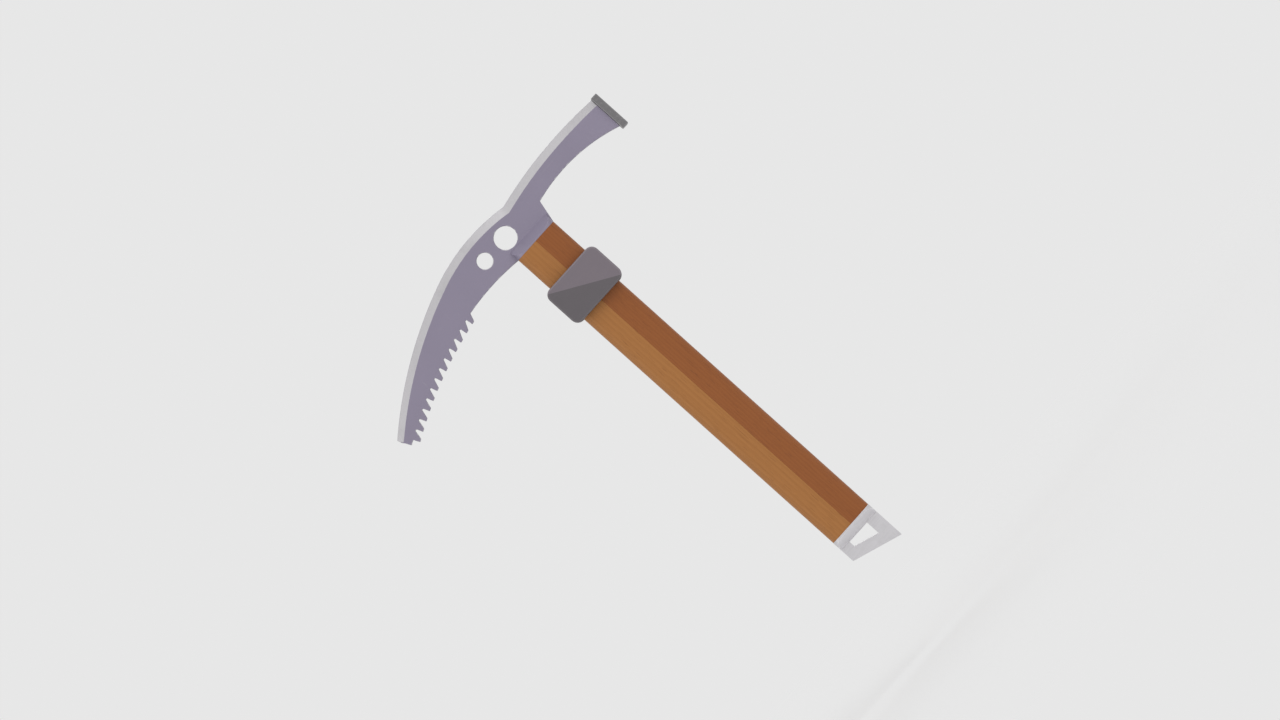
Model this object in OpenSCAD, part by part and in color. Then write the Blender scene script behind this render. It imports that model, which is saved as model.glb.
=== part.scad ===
// Short ice axe: forged pick-and-hammer head, laminated two-stave wooden shaft,
// sliding hand stop and slotted spike.
// Working frame: x = 0 on the shaft's centreline, z = 0 where the wood meets the head,
// the pick towards -X and the hammer arm towards +X. The finished part is shifted so
// that its origin is the centre of the carabiner eye.

/* [Shaft] */
// Width of the shaft's oval, along X
shaft_w = 38; // [34:0.5:42]
// Depth of the shaft's oval, along Y
shaft_d = 26; // [23:0.5:29]
// Visible length of wood between the head and the ferrule
shaft_len = 307; // [240:1:420]
// Radius of the crowned broad faces
shaft_crown_r = 90; // [70:1:150]
// Radius of the shaft's rounded corners
shaft_corner_r = 6.5; // [5:0.5:8]
// Wall left around the wood's end tenons by the socket and the ferrule
tenon_inset = 4.5; // [4.3:0.1:4.9]
// Length of each end tenon
tenon_len = 2.8; // [2.4:0.1:3]

/* [Stave key] */
// Width of the key that joins the two staves, along X
key_w = 12; // [8:0.5:16]
// Thickness of the key, along Y
key_t = 4; // [3:0.5:5]
// Wood left between the key and each tang
key_end_gap = 6; // [4:0.5:12]

/* [Head plate] */
// Thickness of the head plate
plate_t = 8; // [6.5:0.1:9.5]
// Thickness of the pick at its tip
tip_t = 7; // [5.5:0.1:7.5]
// Diameter of the carabiner eye
eye_d = 17.4; // [14:0.1:18.5]
// Distance of the eye from the shaft's centreline, towards the pick
eye_off = 13.1; // [11:0.1:15]
// Height of the eye above the wood
eye_rise = 18; // [17:0.1:20]
// Diameter of the lanyard eye
lanyard_d = 12.2; // [9:0.1:13]
// Distance between the two eyes
eye_pitch = 22.5; // [20:0.1:26]
// Offset of the notch where the two spine curves meet, towards the hammer
notch_off = 2.5; // [0:0.1:5]

/* [Pick] */
// Reach of the pick from the shaft's centreline
pick_reach = 175.4; // [160:0.5:190]
// Height of the pick's crest above the wood
crest_rise = 37.6; // [36:0.1:40]
// Distance of the pick's crest from the shaft's centreline
crest_off = 29; // [25:0.5:33]
// Spine radius over the eyes
spine_r = 149.6; // [140:1:165]
// Spine radius from the middle of the pick to its tip
droop_r = 318; // [280:1:360]
// Distance from the centreline at which the spine's radius changes
droop_off = 72; // [60:1:85]
// Length of the square cut at the tip
tip_w = 11; // [9:0.1:12.5]
// Lean of the tip's cut from the vertical
tip_rake = 25; // [20:0.5:35]
// Distance of the arched underside's crest from the shaft's centreline
throat_off = 46.3; // [42:0.1:52]
// Height of the arched underside's crest above the wood
throat_rise = 2; // [1:0.1:3]
// Radius of the belly that carries the teeth
belly_r = 304; // [260:1:360]

/* [Teeth] */
// Number of teeth
teeth = 13; // [8:1:15]
// Distance from the centreline at which the teeth begin
teeth_off = 71; // [64:0.5:80]
// Depth of a tooth
tooth_h = 5.5; // [4:0.1:6.5]
// Width of a tooth's flat end
tooth_end_w = 2.5; // [1.5:0.1:3]
// Radius at the bottom of a gullet
gullet_r = 0.9; // [0.6:0.05:1.1]

/* [Hammer arm] */
// Distance from the shaft's centreline to the inner face of the cap
arm_reach = 103; // [92:0.5:115]
// Height of the arm's crest above the wood
arm_crest_rise = 40.3; // [39:0.1:43]
// Distance of the arm's crest from the shaft's centreline
arm_crest_off = 66; // [55:0.5:75]
// Height of the arm's arched underside above the wood
arm_under_rise = 20.2; // [18:0.1:23]
// Distance of that arch's crest from the shaft's centreline
arm_under_off = 52; // [48:0.5:58]
// Radius of the arm's arched underside
arm_under_r = 140; // [125:1:170]
// Distance of the armpit from the shaft's centreline
armpit_off = 23.5; // [22:0.1:26]
// Depth of the arm where it meets the cap, along Y
arm_end_d = 18.5; // [15:0.5:24]
// Length over which the arm flares to that depth
flare_len = 38; // [20:1:45]

/* [Spine bevel] */
// Width of the bevel along the spine
bevel_w = 5.9; // [4:0.1:7]
// Width of the bevel at the pick's tip
bevel_tip_w = 4.8; // [3:0.1:6]
// Depth of the bevel into the plate
bevel_drop = 2.3; // [1.5:0.1:2.6]

/* [Hammer cap] */
// Thickness of the striking cap
cap_t = 5.7; // [4.5:0.1:8]
// Depth of the striking cap, along Y
cap_d = 25; // [24.5:0.5:30]
// Overhang of the cap above the arm
cap_lip_top = 0.9; // [0.5:0.1:3]
// Overhang of the cap below the arm
cap_lip_bottom = 3.1; // [0.5:0.1:5]
// Diameter of the cap's rivets
rivet_d = 5; // [4:0.5:6]
// Length of each rivet's shank inside the arm
rivet_grip = 15; // [10:1:20]

/* [Socket and tang] */
// Height of the straight rims of the socket and the ferrule
rim_h = 1; // [0.8:0.1:1.4]
// Height at which the socket has tapered into the plate
taper_h = 8.6; // [8.2:0.1:9]
// Width of the tang
tang_w = 22; // [16:0.5:25]
// Length of the tang below the wood's top
tang_len = 60; // [45:1:75]
// Diameter of the blind pins through the tang
tang_pin_d = 5; // [3.5:0.5:6]
// Length of the blind pins through both tangs
cross_pin_len = 30; // [27:1:32]
// Thickness of the washers under the wood's end grain
washer_t = 0.8; // [0.5:0.1:1.2]

/* [Spike] */
// Thickness of the spike plate at the ferrule
spike_t = 6; // [5:0.1:8]
// Thickness of the spike at its lowest corner
spike_tip_t = 3; // [1.5:0.1:4.5]
// Height of the ferrule
ferrule_h = 7.9; // [7.4:0.1:8]
// Amount by which the ferrule stands proud of the wood's broad faces
ferrule_proud = 1; // [0.8:0.1:1.5]
// Width of the ferrule's flat foot beside the spike
ferrule_lip = 0.5; // [0.3:0.1:1.5]
// Length of the spike's short side, measured from the wood
spike_short = 19.7; // [17:0.1:22]
// Length of the spike's long side, measured from the wood
spike_long = 33; // [28:0.1:40]
// Distance of the slot's top edge from the wood
slot_top = 8.4; // [8:0.1:10]
// Width of metal beside the slot on the short side
slot_wall_short = 8.7; // [7.5:0.1:10]
// Width of metal beside the slot on the long side
slot_wall_long = 10.6; // [8:0.1:12]
// Height of metal below the slot
slot_wall_low = 9.6; // [7:0.1:10.5]
// Width of the spike's tang
spike_tang_w = 22; // [18:0.5:23]
// Length of the spike's tang inside the wood
spike_tang_len = 45; // [35:1:60]
// Diameter of the blind pins through the spike's tang
spike_pin_d = 4; // [3:0.5:4.5]
// Diameter of the ferrule's side pins
ferrule_pin_d = 1.6; // [1.2:0.1:1.8]
// Length of the ferrule's side pins
ferrule_pin_len = 6.5; // [5.5:0.1:7]

/* [Hand stop] */
// Width of the hand stop, along X
collar_w = 51; // [49:0.5:56]
// Height of the hand stop, along Z
collar_h = 33; // [28:0.5:40]
// Depth of the hand stop over its ridge, along Y
collar_d = 43; // [42:0.5:47]
// Gap between the head and the hand stop at rest
collar_gap = 31; // [20:1:60]
// Radius of the corners seen from the side
collar_corner_r = 6; // [4:0.5:8]
// Fall of each facet from the ridge to its far corner
facet_drop = 3; // [1:0.1:3.5]
// Distance of the clamp screws from the centreline, along X
screw_off = 13.5; // [12.5:0.1:14.5]
// Distance of the clamp screws from the shaft's broad face, along Y
screw_out = 3.7; // [3.5:0.1:4.5]
// Diameter of the clamp screws
screw_d = 3; // [2.5:0.1:3.5]
// Diameter of their heads
screw_head_d = 5; // [4.5:0.1:5.5]
// Height of their heads
screw_head_h = 3; // [2:0.1:3.2]
// Length of their shanks
screw_len = 15; // [12:0.5:18]
// Outer diameter of the threaded inserts
insert_d = 4.6; // [4.4:0.1:5]
// Length of the threaded inserts
insert_len = 6; // [4:0.5:7]
// Length of shank that stands out past the inserts
screw_past = 1.5; // [0.5:0.1:2]
// Width of each friction pad
pad_w = 16; // [12:0.5:18]
// Height of each friction pad
pad_h = 20; // [14:0.5:22]
// Thickness of each friction pad
pad_t = 2; // [1.5:0.1:2.5]
// Thickness of each pad spring
spring_t = 0.4; // [0.3:0.05:0.6]
// Bow of each pad spring
spring_bow = 1; // [0.6:0.1:1.4]
// Width of each pad spring
spring_w = 9; // [6:0.5:12]
// Thickness of the wiper rings at the hand stop's ends
wiper_t = 1.5; // [1:0.1:2.5]
// Width of the wiper rings around the shaft
wiper_w = 1.4; // [1:0.1:1.8]

/* [Fits] */
// Running clearance between the hand stop and the shaft
run_gap = 0.3; // [0.3:0.05:0.6]
// Glue or press clearance between fixed pieces
fix_gap = 0.05; // [0.03:0.01:0.1]
// Diameter clearance around the clamp screws
screw_gap = 0.3; // [0.2:0.05:0.6]

/* [Hidden] */

// Colours
coated_steel = [0.55, 0.52, 0.59];
ground_steel = [0.77, 0.76, 0.77];
dark_steel = [0.47, 0.46, 0.47];
light_wood = [0.64, 0.44, 0.27];
dark_wood = [0.57, 0.35, 0.22];
light_polymer = [0.48, 0.45, 0.48];
dark_polymer = [0.41, 0.39, 0.41];
plain_steel = [0.66, 0.66, 0.68];
brass = [0.78, 0.64, 0.36];
leather = [0.42, 0.27, 0.16];
black_rubber = [0.12, 0.12, 0.12];
key_wood = [0.72, 0.56, 0.36];

hole_fn = 48;
arc_steps = 20;
cut = 1;              // overrun of a cutting shape past the face it cuts
far = 400;            // half size of a half-space
collar_z = -collar_gap - collar_h / 2;
wood_foot = -shaft_len;

// ---------- points and curves ----------

// Points on an arc round c in the XZ plane, by angle from +Z towards +X, ends included
function arc(c, r, from, to, n = arc_steps) =
    [for (i = [0:n]) let (a = from + (to - from) * i / n) c + r * [sin(a), cos(a)]];

// Height of a circle's upper half at x
function arc_z(c, r, x) = c[1] + sqrt(r * r - (x - c[0]) * (x - c[0]));

// Angle from +Z at which a circle reaches x
function arc_a(c, r, x) = asin((x - c[0]) / r);

// Points on an arc of centre c and radius r, from x0 to x1
function arc_between(c, r, x0, x1) = arc(c, r, arc_a(c, r, x0), arc_a(c, r, x1));

// The same without its first point
function open_arc(c, r, x0, x1) = let (p = arc_between(c, r, x0, x1)) [for (i = [1:len(p) - 1]) p[i]];

// A run of points closed with its mirror image
function both_sides(run) = concat(run, [for (i = [len(run) - 1:-1:0]) [-run[i][0], run[i][1]]]);

// Radius of an arc that crests at height e above a point a distance d away
function crest_r(d, e) = (d * d + e * e) / (2 * e);

// Centre below two points of the arc of radius r through them
function arc_centre(p, q, r) =
    let (m = (p + q) / 2, half = norm(q - p) / 2, u = (q - p) / norm(q - p),
         side = [u[1], -u[0]] * (u[0] > 0 ? 1 : -1))
    m + side * sqrt(r * r - half * half);

// The shaft's oval grown by g all round: crowned broad faces and rounded corners
function oval(g = 0, w = shaft_w, d = shaft_d) =
    let (hw = w / 2 + g, hd = d / 2 + g, rc = shaft_corner_r + g, cr = shaft_crown_r + g,
         cx = hw - rc, cy = sqrt((cr - rc) * (cr - rc) - cx * cx) - (cr - hd),
         turn = asin(cx / (cr - rc)),
         quarter = concat([for (i = [0:6]) let (a = turn * i / 6)
                               [cr * sin(a), cr * cos(a) - (cr - hd)]],
                          [for (i = [1:8]) let (a = turn + (90 - turn) * i / 8)
                               [cx + rc * sin(a), cy + rc * cos(a)]]))
    concat(quarter,
           [for (i = [len(quarter) - 1:-1:0]) [quarter[i][0], -quarter[i][1]]],
           [for (i = [1:len(quarter) - 1]) [-quarter[i][0], -quarter[i][1]]],
           [for (i = [len(quarter) - 1:-1:1]) [-quarter[i][0], quarter[i][1]]]);

// ---------- head outline, in x and z ----------

crest_c = [-crest_off, crest_rise - spine_r];
droop_a = arc_a(crest_c, spine_r, -droop_off);
droop_c = crest_c - (droop_r - spine_r) * [sin(droop_a), cos(droop_a)];
notch = [notch_off, arc_z(crest_c, spine_r, notch_off)];
tip_a = arc_a(droop_c, droop_r, -pick_reach);
tip_top = [-pick_reach, arc_z(droop_c, droop_r, -pick_reach)];
tip_low = tip_top + tip_w * [sin(tip_rake), -cos(tip_rake)];

arm_r = crest_r(arm_crest_off - notch_off, arm_crest_rise - notch[1]);
arm_c = [arm_crest_off, arm_crest_rise - arm_r];
arm_top = arc_z(arm_c, arm_r, arm_reach);
under_c = [arm_under_off, arm_under_rise - arm_under_r];
arm_low = arc_z(under_c, arm_under_r, arm_reach);

throat_r = crest_r(throat_off - shaft_w / 2, throat_rise);
throat_c = [-throat_off, throat_rise - throat_r];
heel = [-teeth_off, arc_z(throat_c, throat_r, -teeth_off)];
belly_c = arc_centre(tip_low, heel, belly_r);
belly_a = arc_a(belly_c, belly_r, heel[0]);
tooth_pitch_a = (arc_a(belly_c, belly_r, tip_low[0]) - belly_a) / (teeth + 0.2);

// Point t along the belly from gullet k towards the tip, and n out of the blade
function tooth_point(k, t, n) =
    let (a = belly_a + (k - 0.2) * tooth_pitch_a)
    belly_c + (belly_r - n) * [sin(a), cos(a)] + t * [-cos(a), sin(a)];

tooth_lean = 0.3;     // lean of a tooth's steep flank over its depth
gullet_sweep = 142;   // turn of the round gullet before the slanted flank

function tooth(k) = concat(
    [tooth_point(k, tooth_lean - gullet_r - tooth_end_w, tooth_h),
     tooth_point(k, tooth_lean - gullet_r, tooth_h)],
    [for (i = [0:6]) let (b = 180 + (k == teeth ? 90 : gullet_sweep) * i / 6)
        tooth_point(k, gullet_r * cos(b), gullet_r * (1 + sin(b)))]);

spine = concat(
    arc_between(droop_c, droop_r, -pick_reach, -droop_off),
    open_arc(crest_c, spine_r, -droop_off, notch_off),
    open_arc(arm_c, arm_r, notch_off, arm_reach));

head_outline = concat(
    spine,
    arc_between(under_c, arm_under_r, arm_reach, armpit_off),
    [[shaft_w / 2, 0], [-shaft_w / 2, 0]],
    open_arc(throat_c, throat_r, -shaft_w / 2, -teeth_off),
    [for (k = [1:teeth]) each tooth(k)],
    [tip_low]);

// Half thickness of the head at x: tapered pick, flat plate, flared hammer arm
function half_t(x) =
    x < -droop_off ? tip_t / 2 + (plate_t - tip_t) / 2 * (x + pick_reach) / (pick_reach - droop_off)
  : x > arm_reach - flare_len
        ? plate_t / 2 + (arm_end_d - plate_t) / 2 * pow((x - arm_reach + flare_len) / flare_len, 2)
  : plate_t / 2;

thickness_stations = concat([-pick_reach - cut, -droop_off],
    [for (i = [0:8]) arm_reach - flare_len * (1 - i / 8)]);

// ---------- shared helpers ----------

// Draws an x, z outline as a plate of thickness t about y = 0
module side_plate(t) {
    rotate([90, 0, 0]) linear_extrude(t, center = true) children();
}

// A round hole or pin along Y at [x, z]
module across_y(p, d, len) {
    translate([p[0], 0, p[1]]) rotate([90, 0, 0]) cylinder(d = d, h = len, center = true, $fn = hole_fn);
}

// A round hole or pin along X, from x0 to x1, at height z
module along_x(x0, x1, z, d, y = 0) {
    translate([x0, y, z]) rotate([0, 90, 0]) cylinder(d = d, h = x1 - x0, $fn = hole_fn);
}

// A round post between two heights
module post(d, z0, z1, sides = hole_fn) {
    translate([0, 0, z0]) cylinder(d = d, h = z1 - z0, $fn = sides);
}

// A block centred on x and y between two heights
module block(w, d, z0, z1) {
    translate([-w / 2, -d / 2, z0]) cube([w, d, z1 - z0]);
}

// The shaft's oval, grown by g, between two heights
module oval_post(g, z0, z1, w = shaft_w, d = shaft_d) {
    translate([0, 0, z0]) linear_extrude(z1 - z0) polygon(oval(g, w, d));
}

// Moves the working frame so that the carabiner eye is the origin
module framed() {
    translate([eye_off, 0, -eye_rise]) children();
}

// ---------- head ----------

// Inward normal at spine point i, lengthened at bends so that offsets stay parallel
function spine_normal(i) =
    let (last = len(spine) - 1,
         a = spine[min(i + 1, last)] - spine[min(i, last - 1)],
         b = spine[max(i, 1)] - spine[max(i - 1, 0)],
         na = [a[1], -a[0]] / norm(a), nb = [b[1], -b[0]] / norm(b), m = (na + nb) / 2)
    m / (m * m);

function bevel_width(x) = x > -droop_off ? bevel_w
    : bevel_tip_w + (bevel_w - bevel_tip_w) * (x + pick_reach) / (pick_reach - droop_off);

// Swept wedge that takes the bevel off one side of the spine
module bevel_wedge() {
    n = len(spine);
    reach = 0.8;
    rings = [for (i = [-1:n]) let (j = min(max(i, 0), n - 1), p = spine[j], u = spine_normal(j),
            w = bevel_width(p[0]), h = half_t(p[0]), over = (i < 0 ? -1 : i == n ? 1 : 0) * cut,
            slope = bevel_drop / w, top = h + bevel_drop + reach)
        [for (q = [[-reach, h - bevel_drop - slope * reach], [w + reach, h + slope * reach],
                   [w + reach, top], [-reach, top]])
            [p[0] + u[0] * q[0] + over, q[1], p[1] + u[1] * q[0]]]];
    m = len(rings);
    polyhedron(
        points = [for (r = rings) each r],
        faces = concat([[0, 1, 2], [0, 2, 3]],
            [for (i = [0:m - 2], k = [0:3]) let (a = 4 * i + k, b = 4 * i + (k + 1) % 4)
                each [[a, a + 4, b], [b, a + 4, b + 4]]],
            [[4 * m - 4, 4 * m - 2, 4 * m - 3], [4 * m - 4, 4 * m - 1, 4 * m - 2]]));
}

// Trumpet-shaped blend of the socket into the plate, seen along X
module socket_profile() {
    polygon(both_sides([[shaft_d / 2, 0], [shaft_d / 2, rim_h], [plate_t / 2, taper_h]]));
}

tang_pin_z = [-0.35 * tang_len, -0.75 * tang_len];
rivet_z = [for (s = [0.3, 0.7]) arm_low + s * (arm_top - arm_low)];

module head_forging() {
    color(coated_steel) framed() difference() {
        union() {
            intersection() {
                side_plate(arm_end_d + 2 * cut) polygon(head_outline);
                translate([0, 0, -far / 2]) linear_extrude(far) polygon(concat(
                    [for (x = thickness_stations) [x, half_t(x)]],
                    [for (i = [len(thickness_stations) - 1:-1:0])
                        [thickness_stations[i], -half_t(thickness_stations[i])]]));
            }
            intersection() {
                oval_post(0, 0, taper_h);
                rotate([90, 0, 90]) linear_extrude(shaft_w + 2 * cut, center = true) socket_profile();
            }
            block(tang_w, plate_t, -tang_len, taper_h / 2);
        }
        bevel_wedge();
        mirror([0, 1, 0]) bevel_wedge();
        // pocket for the wood's tenon, left solid where the tang passes
        difference() {
            oval_post(fix_gap - tenon_inset, -cut, tenon_len + washer_t + fix_gap);
            block(tang_w, plate_t, -2 * cut, taper_h);
        }
        across_y([-eye_off, eye_rise], eye_d, far);
        across_y([-eye_off - eye_pitch, eye_rise], lanyard_d, far);
        for (z = tang_pin_z) along_x(-tang_w, tang_w, z, tang_pin_d + 2 * fix_gap);
        for (z = rivet_z)
            along_x(arm_reach - rivet_grip - fix_gap, arm_reach + cut, z, rivet_d + 2 * fix_gap);
    }
}

module hammer_cap() {
    color(dark_steel) framed() difference() {
        translate([arm_reach, -cap_d / 2, arm_low - cap_lip_bottom])
            cube([cap_t, cap_d, arm_top - arm_low + cap_lip_top + cap_lip_bottom]);
        for (z = rivet_z) along_x(arm_reach - cut, arm_reach + cap_t + cut, z, rivet_d + 2 * fix_gap);
    }
}

module cap_rivets() {
    color(plain_steel) framed()
        for (z = rivet_z) along_x(arm_reach - rivet_grip, arm_reach + cap_t, z, rivet_d);
}

module socket_washer() {
    color(leather) framed() difference() {
        oval_post(-tenon_inset, tenon_len, tenon_len + washer_t);
        block(tang_w + 2 * fix_gap, plate_t + 2 * fix_gap, 0, taper_h);
    }
}

module tang_pins() {
    color(plain_steel) framed()
        for (z = tang_pin_z) along_x(-cross_pin_len / 2, cross_pin_len / 2, z, tang_pin_d);
}

// ---------- shaft ----------

key_top = -tang_len - key_end_gap;
key_foot = wood_foot + spike_tang_len + key_end_gap;
spike_pin_z = [for (s = [0.35, 0.75]) wood_foot + s * spike_tang_len];

// Both staves together, with every pocket
module shaft_wood() {
    difference() {
        union() {
            oval_post(0, wood_foot, 0);
            oval_post(-tenon_inset, wood_foot - tenon_len, tenon_len);
        }
        block(tang_w + 2 * fix_gap, plate_t + 2 * fix_gap, -tang_len - fix_gap, far);
        block(spike_tang_w + 2 * fix_gap, spike_t + 2 * fix_gap,
              -far - shaft_len, wood_foot + spike_tang_len + fix_gap);
        block(key_w + 2 * fix_gap, key_t + 2 * fix_gap, key_foot - fix_gap, key_top + fix_gap);
        for (z = tang_pin_z) cross_hole(z, tang_pin_d);
        for (z = spike_pin_z) cross_hole(z, spike_pin_d);
        for (s = [-1, 1]) ferrule_pin(s, 2 * fix_gap, fix_gap);
    }
}

// Blind hole through both staves for a cross pin
module cross_hole(z, d) {
    along_x(-cross_pin_len / 2 - fix_gap, cross_pin_len / 2 + fix_gap, z, d + 2 * fix_gap);
}

module hammer_side_stave() {
    color(dark_wood) framed() intersection() {
        shaft_wood();
        translate([0, -far / 2, -shaft_len - far / 2]) cube([far, far, shaft_len + far]);
    }
}

module pick_side_stave() {
    color(light_wood) framed() intersection() {
        shaft_wood();
        translate([-far, -far / 2, -shaft_len - far / 2]) cube([far, far, shaft_len + far]);
    }
}

module stave_key() {
    color(key_wood) framed() block(key_w, key_t, key_foot, key_top);
}

// ---------- ferrule and spike ----------

slot_room = 0.4;   // metal of the spike between the ferrule and the slot
ferrule_foot = wood_foot - min(ferrule_h, slot_top - slot_room);
ferrule_side = 0.1;   // the ferrule is this much wider than the wood on each side
ferrule_pin_z = wood_foot - tenon_len / 2;

// One of the two side pins, or its hole
module ferrule_pin(side, grow_d = 0, grow_len = 0) {
    x1 = shaft_w / 2 + ferrule_side;
    x0 = x1 - ferrule_pin_len - grow_len;
    rotate([0, 0, side > 0 ? 0 : 180])
        along_x(x0, x1 + (grow_len > 0 ? cut : 0), ferrule_pin_z, ferrule_pin_d + grow_d);
}

// The ferrule's tapered foot, seen along X
module ferrule_profile() {
    top_y = shaft_d / 2 + ferrule_proud;
    foot_y = spike_t / 2 + ferrule_lip;
    polygon(both_sides([[top_y, wood_foot], [top_y, wood_foot - rim_h], [foot_y, ferrule_foot]]));
}

module ferrule() {
    color(ground_steel) framed() difference() {
        intersection() {
            oval_post(0, ferrule_foot, wood_foot, shaft_w + 2 * ferrule_side, shaft_d + 2 * ferrule_proud);
            rotate([90, 0, 90]) linear_extrude(shaft_w + 4 * cut, center = true) ferrule_profile();
        }
        oval_post(fix_gap - tenon_inset, wood_foot - tenon_len - washer_t - fix_gap, wood_foot + cut);
        block(spike_tang_w + 2 * fix_gap, spike_t + 2 * fix_gap, ferrule_foot - cut, wood_foot + cut);
        for (s = [-1, 1]) ferrule_pin(s, 2 * fix_gap, fix_gap);
    }
}

module ferrule_pins() {
    color(plain_steel) framed() for (s = [-1, 1]) ferrule_pin(s);
}

module ferrule_washer() {
    color(leather) framed() difference() {
        oval_post(-tenon_inset, wood_foot - tenon_len - washer_t, wood_foot - tenon_len);
        block(spike_tang_w + 2 * fix_gap, spike_t + 2 * fix_gap, ferrule_foot, wood_foot);
    }
}

spike_half = shaft_w / 2 + ferrule_side;
spike_slope = (spike_long - spike_short) / (2 * spike_half);

// Depth of the spike's slanted edge below the wood at x
function spike_edge(x) = spike_short + spike_slope * (x + spike_half);

slot_x0 = -spike_half + slot_wall_short;
slot_x1 = spike_half - slot_wall_long;

module spike() {
    color(ground_steel) framed() difference() {
        union() {
            intersection() {
                side_plate(spike_t) polygon([
                    [-spike_half, ferrule_foot], [spike_half, ferrule_foot],
                    [spike_half, wood_foot - spike_long], [-spike_half, wood_foot - spike_short]]);
                rotate([90, 0, 90]) linear_extrude(2 * spike_half + 2 * cut, center = true)
                    polygon(both_sides([[spike_tip_t / 2, wood_foot - spike_long],
                        [spike_t / 2, ferrule_foot - cut], [spike_t / 2, ferrule_foot]]));
            }
            block(spike_tang_w, spike_t, ferrule_foot - cut, wood_foot + spike_tang_len);
        }
        side_plate(spike_t + 2 * cut) polygon([
            [slot_x0, wood_foot - slot_top], [slot_x1, wood_foot - slot_top],
            [slot_x1, wood_foot - spike_edge(slot_x1) + slot_wall_low],
            [slot_x0, wood_foot - spike_edge(slot_x0) + slot_wall_low]]);
        for (z = spike_pin_z) along_x(-spike_tang_w, spike_tang_w, z, spike_pin_d + 2 * fix_gap);
    }
}

module spike_pins() {
    color(plain_steel) framed()
        for (z = spike_pin_z) along_x(-cross_pin_len / 2, cross_pin_len / 2, z, spike_pin_d);
}

// ---------- sliding hand stop, drawn about its own centre ----------

seam_a = atan2(collar_h, collar_w);
facet_a = atan2(facet_drop, collar_w * sin(seam_a));
screw_y = shaft_d / 2 + screw_out;
screw_top = -collar_h / 2 + screw_head_h + 0.2;
insert_z0 = screw_top + screw_len - screw_past - insert_len;
screw_end_room = 0.5;
bore_gap = run_gap + 0.1;
pad_floor = run_gap + pad_t + spring_bow + spring_t + 0.2;

module stop_frame() {
    framed() translate([0, 0, collar_z]) children();
}

module rounded_rect(w, h, r) {
    for (sx = [-1, 1], sy = [-1, 1]) translate([sx * (w / 2 - r), sy * (h / 2 - r)]) circle(r, $fn = hole_fn);
    square([w - 2 * r, h], center = true);
    square([w, h - 2 * r], center = true);
}

// Half-space above the diagonal seam, turned so that its edge runs along the seam
module above_seam() {
    rotate([0, seam_a, 0]) translate([-far / 2, -far / 2, 0]) cube([far, far, far]);
}

// One facet's side of the block: falls away from the ridge on the front and the back
module facet_wedge() {
    half = collar_d / 2;
    rise = far / 4;
    fall = rise * tan(facet_a);
    rotate([0, seam_a, 0]) rotate([90, 0, 90]) linear_extrude(far, center = true)
        polygon([[-half, 0], [half, 0], [half - fall, rise], [fall - half, rise]]);
}

// Clamp screw centres that enter the spike-side shell; turned half round for the other pair
module screw_places() {
    for (sy = [-1, 1]) translate([screw_off, sy * screw_y, 0]) children();
}

// Passage for the shaft, with pad pockets and wiper seats
module passage() {
    oval_post(bore_gap, -collar_h, collar_h);
    for (s = [0, 1]) rotate([0, 180 * s, 0])
        oval_post(run_gap + wiper_w + fix_gap, collar_h / 2 - wiper_t - fix_gap, collar_h);
    block(pad_w + 4 * fix_gap, shaft_d + 2 * pad_floor, -pad_h / 2 - 2 * fix_gap, pad_h / 2 + 2 * fix_gap);
}

// The head-side shell; the spike-side shell is the same piece turned half round
module stop_shell() {
    difference() {
        intersection() {
            side_plate(collar_d) rounded_rect(collar_w, collar_h, collar_corner_r);
            facet_wedge();
        }
        passage();
        // seats for the inserts that this shell holds
        screw_places() post(insert_d + 2 * fix_gap, -collar_h / 2, screw_top + screw_len + screw_end_room);
        // clearance and counterbores for the screws that this shell carries
        rotate([0, 180, 0]) screw_places() {
            post(screw_d + screw_gap, -collar_h, collar_h);
            post(screw_head_d + screw_gap, -collar_h, screw_top);
        }
    }
}

module collar_head_shell() {
    color(light_polymer) stop_frame() stop_shell();
}

module collar_spike_shell() {
    color(dark_polymer) stop_frame() rotate([0, 180, 0]) stop_shell();
}

module collar_screws() {
    color(plain_steel) stop_frame() for (s = [0, 1]) rotate([0, 180 * s, 0]) screw_places() difference() {
        union() {
            post(screw_d, screw_top, screw_top + screw_len);
            post(screw_head_d, screw_top - screw_head_h, screw_top);
        }
        // hexagon socket
        post(screw_head_d / 2, screw_top - screw_head_h - cut, screw_top - screw_head_h / 2, 6);
    }
}

module collar_inserts() {
    color(brass) stop_frame() for (s = [0, 1]) rotate([0, 180 * s, 0]) screw_places()
        difference() {
            post(insert_d, insert_z0, insert_z0 + insert_len);
            post(screw_d + 2 * fix_gap, insert_z0 - cut, insert_z0 + insert_len + cut);
        }
}

module friction_pads() {
    color(leather) stop_frame() for (s = [-1, 1]) intersection() {
        difference() {
            oval_post(run_gap + pad_t, -pad_h / 2, pad_h / 2);
            oval_post(run_gap, -pad_h, pad_h);
        }
        translate([-pad_w / 2, s > 0 ? 0 : -far, -pad_h]) cube([pad_w, far, 2 * pad_h]);
    }
}

// Bowed leaf between a pad's back and its pocket's floor
module pad_springs() {
    half = pad_h / 2 - 1;
    bow_r = crest_r(half, spring_bow);
    y0 = shaft_d / 2 + run_gap + pad_t + 0.05;
    bow_a = asin(half / bow_r);
    leaf = [for (r = [bow_r + spring_t, bow_r]) [for (i = [0:12]) let (a = bow_a * (i / 6 - 1))
        [y0 + spring_bow - bow_r + r * cos(a), r * sin(a)]]];
    color(plain_steel) stop_frame() for (s = [0, 1]) rotate([0, 0, 180 * s])
        rotate([90, 0, 90]) linear_extrude(spring_w, center = true)
            polygon(concat(leaf[0], [for (i = [12:-1:0]) leaf[1][i]]));
}

module collar_wipers() {
    color(black_rubber) stop_frame() for (s = [0, 1]) rotate([0, 180 * s, 0]) difference() {
        oval_post(run_gap + wiper_w, collar_h / 2 - wiper_t, collar_h / 2);
        oval_post(run_gap, 0, collar_h);
    }
}

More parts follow.
